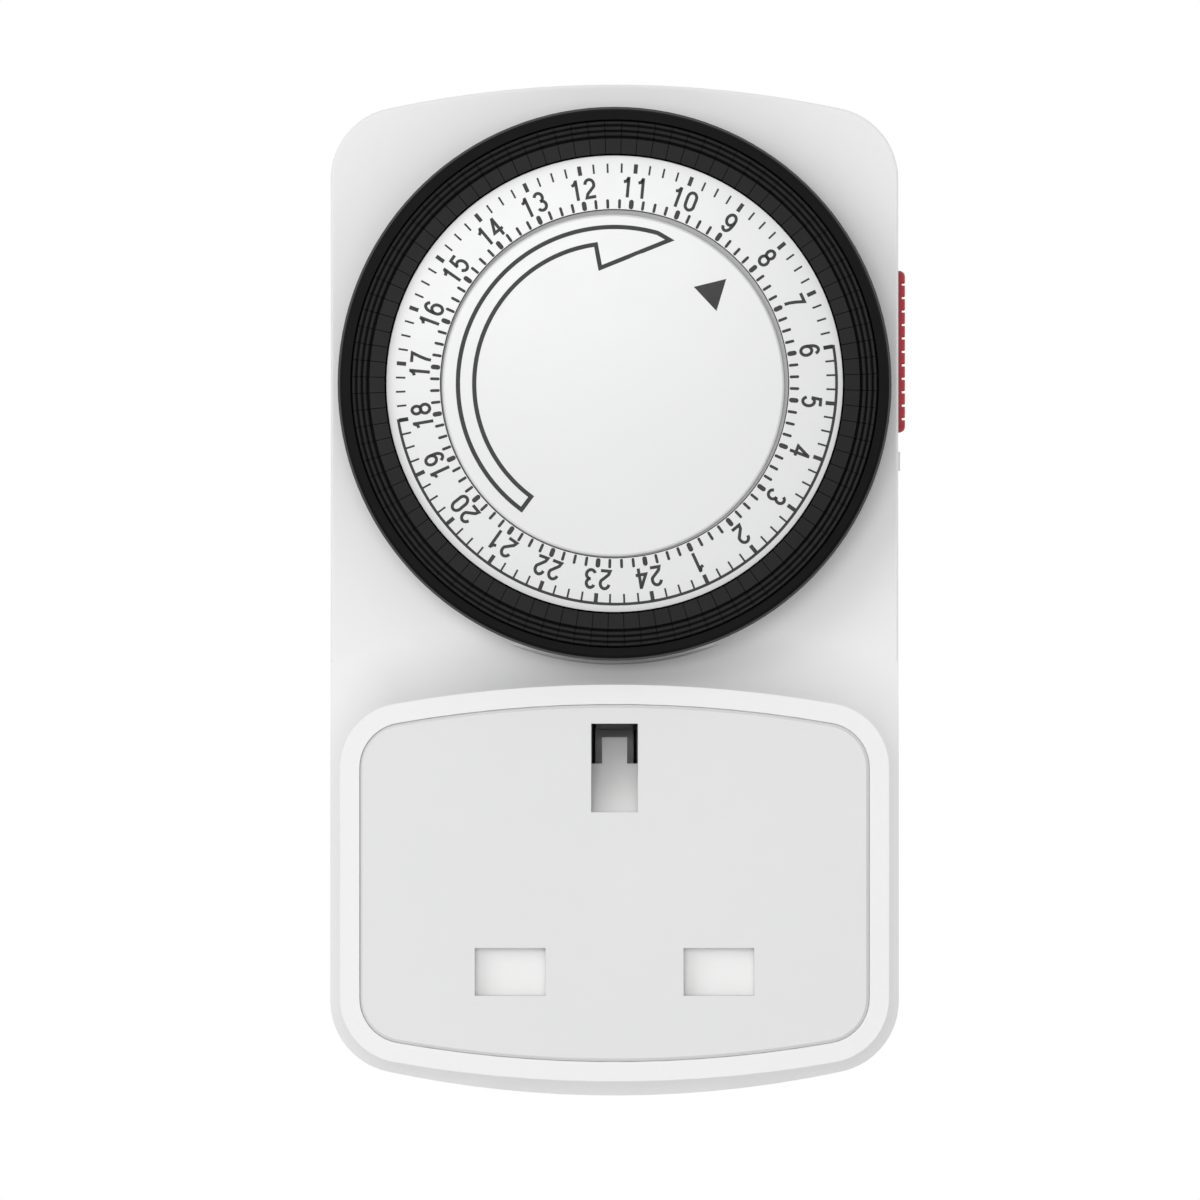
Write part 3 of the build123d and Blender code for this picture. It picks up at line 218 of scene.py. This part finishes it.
def lighten_edge(material, inner, depth, colour):
    """A paler tone beyond a radius and in front of a depth: a painted highlight along an edge."""
    nodes, links = material.node_tree.nodes, material.node_tree.links
    shader = nodes["Principled BSDF"]
    where = nodes.new("ShaderNodeTexCoord")
    away = nodes.new("ShaderNodeVectorMath")
    away.operation = "SUBTRACT"
    away.inputs[1].default_value = (DIAL_X, 0, DIAL_Z)
    flat = nodes.new("ShaderNodeVectorMath")
    flat.operation = "MULTIPLY"
    flat.inputs[1].default_value = (1, 0, 1)
    radius = nodes.new("ShaderNodeVectorMath")
    radius.operation = "LENGTH"
    rim = nodes.new("ShaderNodeMapRange")
    rim.inputs["From Min"].default_value = inner
    rim.inputs["From Max"].default_value = inner + RIM_FEATHER
    split = nodes.new("ShaderNodeSeparateXYZ")
    front = nodes.new("ShaderNodeMapRange")
    front.inputs["From Min"].default_value = depth + FRONT_FEATHER
    front.inputs["From Max"].default_value = depth
    highlight_mask = nodes.new("ShaderNodeMath")
    highlight_mask.operation = "MULTIPLY"
    mix = nodes.new("ShaderNodeMix")
    mix.data_type = "RGBA"
    mix.inputs["B"].default_value = (*colour, 1)
    base = shader.inputs["Base Color"].links[0].from_socket
    links.new(where.outputs["Object"], away.inputs[0])
    links.new(away.outputs["Vector"], flat.inputs[0])
    links.new(flat.outputs["Vector"], radius.inputs[0])
    links.new(radius.outputs["Value"], rim.inputs["Value"])
    links.new(where.outputs["Object"], split.inputs["Vector"])
    links.new(split.outputs["Y"], front.inputs["Value"])
    links.new(rim.outputs["Result"], highlight_mask.inputs[0])
    links.new(front.outputs["Result"], highlight_mask.inputs[1])
    links.new(highlight_mask.outputs["Value"], mix.inputs["Factor"])
    links.new(base, mix.inputs["A"])
    links.new(mix.outputs["Result"], shader.inputs["Base Color"])


# The shell and the socket plate are one plastic; the shell's white is set lighter than the
# plate's, and that difference is painted light and painted shade
shell = plastic(
    "shell_white", (0.853, 0.855, 0.855), (0.863, 0.864, 0.864), (0.42, 0.52), 0.004 * MM
)
plate_white = plastic(
    "plate_white", (0.755, 0.757, 0.757), (0.765, 0.766, 0.766), (0.46, 0.56), 0.004 * MM
)
shutter_white = plastic(
    "shutter_white", (0.86, 0.86, 0.855), (0.87, 0.87, 0.865), (0.30, 0.40), 0.002 * MM
)
dial_white = plastic(
    "dial_white", (0.765, 0.767, 0.77), (0.775, 0.777, 0.78), (0.21, 0.27), 0.0008 * MM
)
dial_black = plastic(
    "dial_black", (0.003, 0.003, 0.0031), (0.0045, 0.0045, 0.0046), (0.36, 0.48), 0.003 * MM,
    Specular_IOR_Level=0.06,
)
# Painted highlight: a paler tone on the collar's outer chamfer, standing in for the light that
# catches that edge
lighten_edge(dial_black, 29.12 * MM, COLLAR_FACE + 0.5 * MM, (0.075, 0.075, 0.077))
segment_black = plastic(
    "segment_black", (0.006, 0.006, 0.0063), (0.008, 0.008, 0.0084), (0.34, 0.42), 0.003 * MM,
    bevel=0.03 * MM, Specular_IOR_Level=0.12,
)
# Painted highlight: a paler tone on the segments' outer ridges, standing in for the light that
# catches them
lighten_edge(segment_black, 26.1 * MM, COLLAR_FACE - 0.22 * MM, (0.034, 0.034, 0.035))
red = plastic(
    "grip_red", (0.40, 0.034, 0.042), (0.44, 0.040, 0.048), (0.38, 0.5), 0.004 * MM,
    Specular_IOR_Level=0.3,
)
# Painted shade: the disc's flange is white plastic like the disc, and this grey stands in for the
# shade in the narrow gap round the disc
flange_painted_shade = plastic(
    "disc_flange_shade", (0.40, 0.40, 0.40), (0.43, 0.43, 0.43), (0.4, 0.5), 0.003 * MM
)
carrier_grey = plastic(
    "carrier_grey", (0.10, 0.104, 0.108), (0.13, 0.134, 0.138), (0.45, 0.6), 0.005 * MM
)
gear_plastic = plastic(
    "gear_natural", (0.70, 0.68, 0.62), (0.76, 0.74, 0.68), (0.3, 0.42), 0.002 * MM,
    Subsurface_Weight=0.1, Subsurface_Scale=0.5 * MM,
)
sleeve_black = plastic(
    "sleeve_black", (0.010, 0.010, 0.010), (0.016, 0.016, 0.016), (0.5, 0.62), 0.003 * MM
)
ferrite = plastic(
    "ferrite_dark", (0.022, 0.021, 0.021), (0.034, 0.032, 0.032), (0.6, 0.75), 0.01 * MM, 5000.0
)
brass = metal("brass_plain", (0.56, 0.42, 0.18), (0.66, 0.50, 0.24), (0.24, 0.36), (1, 0.05, 1))
steel = metal("steel_plated", (0.50, 0.51, 0.52), (0.60, 0.61, 0.62), (0.28, 0.42), (0.05, 1, 1))
# A darker, rougher copy of the plated steel for the earth clip; its darker tone is painted shade
# for its place deep in the earth aperture
clip_steel_shaded = metal("steel_dull_shaded", (0.40, 0.40, 0.405), (0.46, 0.46, 0.465), (0.32, 0.45))
spring_steel = metal("spring_bright", (0.6, 0.6, 0.62), (0.7, 0.7, 0.72), (0.16, 0.26))
copper = metal("copper_winding", (0.42, 0.16, 0.06), (0.55, 0.23, 0.10), (0.3, 0.42))
ink, ink_shader = new_material("ink_dark", (0.022, 0.022, 0.024), 0.6)
add_bump(ink, ink_shader, object_noise(ink, 8000.0), 0.002 * MM)
vary_colour(
    ink, ink_shader, object_noise(ink, 900.0, 3.0), (0.019, 0.019, 0.021), (0.027, 0.027, 0.029)
)

BY_SLOT = {
    "white_shell": shell,
    "dial_white": dial_white,
    "dial_black": dial_black,
    "red_grip": red,
    "carrier_grey": carrier_grey,
    "gear_plastic": gear_plastic,
    "brass_contacts": brass,
    "sleeve_black": sleeve_black,
    "plated_steel": steel,
    "spring_steel": spring_steel,
    "copper_wire": copper,
    "ferrite": ferrite,
}
BY_NODE = {"socket_plate": plate_white, "shutter": shutter_white, "earth_clip": clip_steel_shaded}


def dress_nodes():
    """Gives every CAD node its material, by its name or by its slot in the record."""
    for row in frame["record"]["subparts"]:
        node = frame["nodes"][row["node"]]
        material = BY_NODE.get(row["node"], BY_SLOT[row["material_slot"]])
        if row["node"].startswith("segments_hour"):
            material = segment_black
        node.data.materials.clear()
        node.data.materials.append(material)


# ---------------------------------------------------------------- centre disc
def lathe(mesh, centre, profile, turns=LATHE_TURNS):
    """A closed solid of revolution from (radius, drop) points, axis to axis, front to back."""
    rings = []
    for radius, drop in profile:
        if radius == 0:
            rings.append([mesh.verts.new((centre[0], DISC_FACE + drop, centre[1]))] * turns)
            continue
        ring = []
        for step in range(turns):
            turn = 2 * math.pi * step / turns
            place = (
                centre[0] + radius * math.cos(turn),
                DISC_FACE + drop,
                centre[1] + radius * math.sin(turn),
            )
            ring.append(mesh.verts.new(place))
        rings.append(ring)
    for first, second in zip(rings, rings[1:]):
        for step in range(turns):
            corners = [first[step], first[step - 1], second[step - 1], second[step]]
            mesh.faces.new(list(dict.fromkeys(corners)))


def make_disc():
    """Two closed bodies that touch: a domed disc, a little low and left on its flange."""
    mesh = bmesh.new()
    dome = (DISC_FACE_RADIUS**2 + DISC_DOME**2) / (2 * DISC_DOME)
    face = []
    for ring in range(DISC_RINGS + 1):
        radius = DISC_FACE_RADIUS * ring / DISC_RINGS
        face.append((radius, dome - math.sqrt(dome**2 - radius**2)))
    face += [(DISC_RADIUS, DISC_EDGE), (DISC_RADIUS, DISC_STEP), (0, DISC_STEP)]
    lathe(mesh, (DIAL_X + DISC_OFFSET[0], DIAL_Z + DISC_OFFSET[1]), face)
    front_faces = len(mesh.faces)
    flange = [
        (0, DISC_STEP),
        (DISC_STEP_RADIUS, DISC_STEP),
        (DISC_STEP_RADIUS, DISC_BACK),
        (DISC_NECK[0], DISC_BACK),
        DISC_NECK,
        (DISC_STEM[0], DISC_NECK[1]),
        DISC_STEM,
        (0, DISC_STEM[1]),
    ]
    lathe(mesh, (DIAL_X, DIAL_Z), flange)
    mesh.faces.ensure_lookup_table()
    # The flange faces take the second material, whose grey is painted shade
    for index in range(front_faces, len(mesh.faces)):
        mesh.faces[index].material_index = 1
    bmesh.ops.recalc_face_normals(mesh, faces=list(mesh.faces))
    data = bpy.data.meshes.new("disc_smooth")
    mesh.to_mesh(data)
    mesh.free()
    data.shade_smooth()
    data.set_sharp_from_angle(angle=DISC_SHARP)
    data.materials.append(dial_white)
    data.materials.append(flange_painted_shade)
    disc = bpy.data.objects.new("disc_smooth", data)
    bpy.context.scene.collection.objects.link(disc)
    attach(disc, "housing")
    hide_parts("centre_disc")
    return disc


def make_spring():
    """The shutter's spring: a copy with a mesh of its own, riding on the housing, in place of the
    packed one.
    """
    packed = frame["nodes"]["shutter_spring"]
    spring = packed.copy()
    spring.data = packed.data.copy()
    spring.name = "shutter_spring_coil"
    for key in list(spring.keys()):
        del spring[key]
    bpy.context.scene.collection.objects.link(spring)
    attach(spring, "housing")
    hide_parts("shutter_spring")
    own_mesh(spring)


# ---------------------------------------------------------------- printing
def polar(centre, radius, angle):
    """A point round a centre of the dial. The angle is in radians, counter-clockwise from +X."""
    return Vector((centre[0] + radius * math.cos(angle), 0, centre[1] + radius * math.sin(angle)))


def hour_angle(hour):
    """Where an hour stands on the dial at rest, in radians."""
    return HOUR_ZERO + 2 * math.pi * hour / HOURS


def face_tree(holder):
    """The surface of an object, to lay printing on."""
    points = [holder.matrix_world @ vertex.co for vertex in holder.data.vertices]
    return BVHTree.FromPolygons(points, [face.vertices[:] for face in holder.data.polygons])


def printed_piece(name, outlines, holder, body, cuts=0):
    """A film of ink from flat outlines, laid on an object's front face."""
    mesh = bmesh.new()
    for outline in outlines:
        mesh.faces.new([mesh.verts.new(point) for point in outline])
    bmesh.ops.remove_doubles(mesh, verts=list(mesh.verts), dist=WELD)
    if cuts:
        bmesh.ops.subdivide_edges(mesh, edges=list(mesh.edges), cuts=cuts, use_grid_fill=True)
    tree = face_tree(holder)
    for vertex in mesh.verts:
        start = Vector((vertex.co.x, RAY_START, vertex.co.z))
        hit = tree.ray_cast(start, Vector((0, 1, 0)))[0]
        vertex.co.y = hit.y
    made = bmesh.ops.extrude_face_region(mesh, geom=list(mesh.faces))
    moved = [item for item in made["geom"] if isinstance(item, bmesh.types.BMVert)]
    bmesh.ops.translate(mesh, verts=moved, vec=(0, -INK, 0))
    bmesh.ops.recalc_face_normals(mesh, faces=list(mesh.faces))
    data = bpy.data.meshes.new(name)
    mesh.to_mesh(data)
    mesh.free()
    data.materials.append(ink)
    piece = bpy.data.objects.new(name, data)
    bpy.context.scene.collection.objects.link(piece)
    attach(piece, body)


def stroke_outlines(points, width, closed=False):
    """Quads along a line of points, mitred where it turns."""
    count = len(points)
    sides = []
    for index, point in enumerate(points):
        before = points[index - 1] if closed or index else None
        after = points[(index + 1) % count] if closed or index < count - 1 else None
        ways = [(b - a).normalized() for a, b in ((before, point), (point, after)) if a and b]
        normals = [Vector((way.z, 0, -way.x)) for way in ways]
        mitre = sum(normals, Vector()).normalized()
        reach = width / 2 / max(MITRE_LIMIT, mitre.dot(normals[0]))
        sides.append((point + mitre * reach, point - mitre * reach))
    last = count if closed else count - 1
    quads = []
    for index in range(last):
        here, there = sides[index], sides[(index + 1) % count]
        quads.append([here[0], there[0], there[1], here[1]])
    return quads


def tick(middle, inner, outer, angle, width, rounded=False):
    """A radial mark, square or with rounded ends."""
    half = width / 2
    along = Vector((math.cos(angle), 0, math.sin(angle)))
    across = Vector((-math.sin(angle), 0, math.cos(angle)))
    centre = Vector((middle[0], 0, middle[1]))
    if not rounded:
        corners = ((inner, -half), (outer, -half), (outer, half), (inner, half))
        return [centre + along * r + across * a for r, a in corners]
    points = []
    for end, start in ((outer - half, -90), (inner + half, 90)):
        for step in range(180 // TICK_END_STEP + 1):
            turn = math.radians(start + TICK_END_STEP * step)
            points.append(
                centre + along * (end + half * math.cos(turn)) + across * half * math.sin(turn)
            )
    return points


def make_ticks():
    """The outer and inner marks of the hours and quarters, all in one film."""
    outlines = []
    for mark in range(HOURS * QUARTERS):
        kind = 0 if mark % QUARTERS == 0 else 1
        angle = hour_angle(mark / QUARTERS)
        outlines.append(tick(PRINT_CENTRE, *OUTER_TICK, angle, OUTER_WIDTHS[kind]))
        outlines.append(tick(DISC_CENTRE, *INNER_TICK, angle, INNER_WIDTHS[kind], rounded=True))
    printed_piece("dial_ticks", outlines, frame["nodes"]["dial_plate"], "dial")


def arc(centre, radius, start, end, step=ARC_STEP):
    """Points along an arc between two angles in degrees."""
    count = max(2, round(abs(end - start) / step))
    angles = [start + (end - start) * n / count for n in range(count + 1)]
    return [polar(centre, radius, math.radians(angle)) for angle in angles]


def make_night_line():
    """The line beside the night hours, with an end turned inwards at 6 and at 18."""
    start, end = (math.degrees(hour_angle(hour)) for hour in NIGHT_HOURS)
    points = arc(PRINT_CENTRE, NIGHT_RADIUS, start, end)
    points.insert(0, polar(PRINT_CENTRE, NIGHT_END, math.radians(start)))
    points.append(polar(PRINT_CENTRE, NIGHT_END, math.radians(end)))
    outlines = stroke_outlines(points, NIGHT_WIDTH)
    printed_piece("dial_night_line", outlines, frame["nodes"]["dial_plate"], "dial")


def make_arrow(disc):
    """The outline of the arrow for the turning direction."""
    points = arc(DISC_CENTRE, ARROW_OUTER, ARROW_TAIL, ARROW_SHOULDER)
    for radius, angle in (ARROW_TIP, ARROW_BARB):
        points.append(polar(DISC_CENTRE, radius, math.radians(angle)))
    points += arc(DISC_CENTRE, ARROW_INNER, ARROW_NECK, ARROW_TAIL)
    outlines = stroke_outlines(points, ARROW_STROKE, closed=True)
    printed_piece("disc_arrow", outlines, disc, "housing")


def make_pointer(disc):
    """The filled triangle that points at the present time."""
    outline = [polar(DISC_CENTRE, radius, math.radians(angle)) for radius, angle in POINTER]
    printed_piece("disc_pointer", [outline], disc, "housing", cuts=POINTER_CUTS)


def oval(x, y, wide, high, start, end):
    """Points along part of an oval, in degrees counter-clockwise from its right side."""
    count = max(2, round(abs(end - start) / OVAL_STEP))
    turns = [math.radians(start + (end - start) * n / count) for n in range(count + 1)]
    return [(x + wide * math.cos(turn), y + high * math.sin(turn)) for turn in turns]


# The middle of each digit's strokes, from -1 to 1 across and up; True closes a stroke
SIX = (
    (oval(0, -0.38, 1, 0.62, 0, 342), True),
    ([(-1.0, -0.38), (-0.98, 0.05), *oval(0.05, 0.2, 1.0, 0.8, 170, 32)], False),
)
DIGITS = {
    "0": ((oval(0, 0.4, 1, 0.6, 0, 180) + oval(0, -0.4, 1, 0.6, 180, 360)[:-1], True),),
    "1": (
        ([(0.3, -1.16), (0.3, 1.16)], False),
        ([(-0.75, 0.56), (-0.15, 0.66), (0.25, 1.0)], False),
    ),
    "2": ((oval(0, 0.42, 1, 0.58, 172, -28) + [(-0.7, -0.6), (-0.98, -1.0), (1.1, -1.0)], False),),
    "3": (
        (oval(-0.05, 0.5, 0.9, 0.5, 160, -90), False),
        (oval(-0.03, -0.48, 1.0, 0.52, 90, -160), False),
    ),
    "4": (
        ([(0.45, -1.16), (0.45, 1.16)], False),
        ([(0.4, 1.02), (-1.05, -0.42), (1.25, -0.42)], False),
    ),
    "5": (
        ([(0.9, 1.0), (-0.66, 1.0), (-0.9, -0.05)], False),
        (oval(0.0, -0.34, 1.0, 0.66, 148, -158), False),
    ),
    "6": SIX,
    "7": (([(-1.1, 1.0), (1.0, 1.0), (0.3, 0.1), (-0.12, -0.6), (-0.28, -1.16)], False),),
    "8": ((oval(0, 0.5, 0.87, 0.5, 0, 342), True), (oval(0, -0.47, 1.0, 0.53, 0, 342), True)),
    "9": tuple(([(-x, -y) for x, y in stroke], closed) for stroke, closed in SIX),
}


def make_numbers():
    """The hours 1 to 24, tops outwards. Strokes of a digit that cross overlap."""
    half_width = (DIGIT_WIDTH - DIGIT_STROKE) / 2
    half_height = (DIGIT_HEIGHT - DIGIT_STROKE) / 2
    outlines = []
    for hour in range(1, HOURS + 1):
        angle = hour_angle(hour)
        along = Vector((math.cos(angle), 0, math.sin(angle)))
        across = Vector((math.sin(angle), 0, -math.cos(angle)))
        word = str(hour)
        for place, digit in enumerate(word):
            shift = (place - (len(word) - 1) / 2) * DIGIT_ADVANCE
            middle = polar(PRINT_CENTRE, DIGIT_RADIUS, angle) + across * shift
            for stroke, closed in DIGITS[digit]:
                points = [
                    middle + across * x * half_width + along * y * half_height for x, y in stroke
                ]
                outlines += stroke_outlines(points, DIGIT_STROKE, closed)
    printed_piece("dial_numbers", outlines, frame["nodes"]["dial_plate"], "dial")


# ---------------------------------------------------------------- studio
FLOOR_DROP = 0.10
FLOOR_RADIUS = 0.62
FLOOR_SIDES = 96
FILL = 0.45  # radiance of the world's soft fill
CAMERA_DISTANCE = 1.6
CAMERA_AXIS = (-0.00155, 0.03955)
SENSOR = 36.0
LENS = 451.4
CLIP = (0.05, 20)
AIM = (0, -0.045, 0.05)
# Name, place, size, radiance, and whether gloss shows the lamp
LAMPS = (
    ("key_left", (-0.60, -0.77, 0.36), (0.6, 0.6), 2.15, True),
    ("front_above", (-0.11, -1.2, 0.215), (0.42, 0.26), 7.0, True),
    ("front_level", (0, -1.25, -0.01), (0.7, 0.16), 4.4, False),
    ("top_soft", (0.15, 0.05, 1.1), (0.8, 0.8), 0.45, True),
    ("right_soft", (0.9, -0.1, 0.35), (0.5, 0.5), 1.2, True),
    ("back_soft", (0.3, 1.15, 0.3), (0.8, 0.6), 0.9, True),
)


def make_floor():
    """A pale round floor below the part."""
    mesh = bmesh.new()
    bmesh.ops.create_circle(mesh, cap_ends=True, radius=FLOOR_RADIUS, segments=FLOOR_SIDES)
    data = bpy.data.meshes.new("floor")
    mesh.to_mesh(data)
    mesh.free()
    material, shader = new_material("floor_pale", (0.86, 0.86, 0.86), 0.7)
    drift = object_noise(material, 6.0)
    vary_colour(material, shader, drift, (0.85, 0.85, 0.85), (0.87, 0.87, 0.87))
    data.materials.append(material)
    floor = bpy.data.objects.new("floor", data)
    floor.location = (0, -0.02, -FLOOR_DROP)
    bpy.context.scene.collection.objects.link(floor)


def make_world():
    """A white background for what the camera, gloss and glass see, and a soft fill."""
    world = bpy.data.worlds.new("studio")
    world.use_nodes = True
    nodes, links = world.node_tree.nodes, world.node_tree.links
    nodes.clear()
    path = nodes.new("ShaderNodeLightPath")
    seen = nodes.new("ShaderNodeMath")
    seen.operation = "MAXIMUM"
    bright = nodes.new("ShaderNodeMath")
    bright.operation = "MAXIMUM"
    links.new(path.outputs["Is Camera Ray"], seen.inputs[0])
    links.new(path.outputs["Is Transmission Ray"], seen.inputs[1])
    links.new(seen.outputs[0], bright.inputs[0])
    links.new(path.outputs["Is Glossy Ray"], bright.inputs[1])
    fill = nodes.new("ShaderNodeBackground")
    fill.inputs["Color"].default_value = (1, 1, 1, 1)
    fill.inputs["Strength"].default_value = FILL
    white = nodes.new("ShaderNodeBackground")
    white.inputs["Color"].default_value = (1, 1, 1, 1)
    white.inputs["Strength"].default_value = 1.0
    mix = nodes.new("ShaderNodeMixShader")
    output = nodes.new("ShaderNodeOutputWorld")
    links.new(bright.outputs[0], mix.inputs[0])
    links.new(fill.outputs[0], mix.inputs[1])
    links.new(white.outputs[0], mix.inputs[2])
    links.new(mix.outputs[0], output.inputs["Surface"])
    bpy.context.scene.world = world


def area_light(name, place, size, radiance, gloss):
    """A soft box of an even radiance, pointed at the part."""
    light = bpy.data.lights.new(name, "AREA")
    light.shape = "RECTANGLE"
    light.size, light.size_y = size
    light.energy = radiance * math.pi * size[0] * size[1]
    lamp = bpy.data.objects.new(name, light)
    lamp.location = place
    lamp.rotation_euler = (Vector(AIM) - Vector(place)).to_track_quat("-Z", "Y").to_euler()
    lamp.visible_camera = False
    lamp.visible_glossy = gloss
    bpy.context.scene.collection.objects.link(lamp)


def make_camera():
    """A long lens, straight in front of the part as in the photograph."""
    data = bpy.data.cameras.new("camera")
    data.sensor_width = SENSOR
    data.lens = LENS
    data.clip_start, data.clip_end = CLIP
    camera = bpy.data.objects.new("camera", data)
    camera.location = (CAMERA_AXIS[0], SOCKET_FACE - CAMERA_DISTANCE, CAMERA_AXIS[1])
    camera.rotation_euler = (math.radians(90), 0, 0)
    bpy.context.scene.collection.objects.link(camera)
    bpy.context.scene.camera = camera


dress_nodes()
make_ticks()
make_night_line()
make_numbers()
centre_disc = make_disc()
make_arrow(centre_disc)
make_pointer(centre_disc)
make_spring()
make_floor()
make_world()
for lamp in LAMPS:
    area_light(*lamp)
make_camera()
bpy.context.scene.view_settings.view_transform = "Standard"
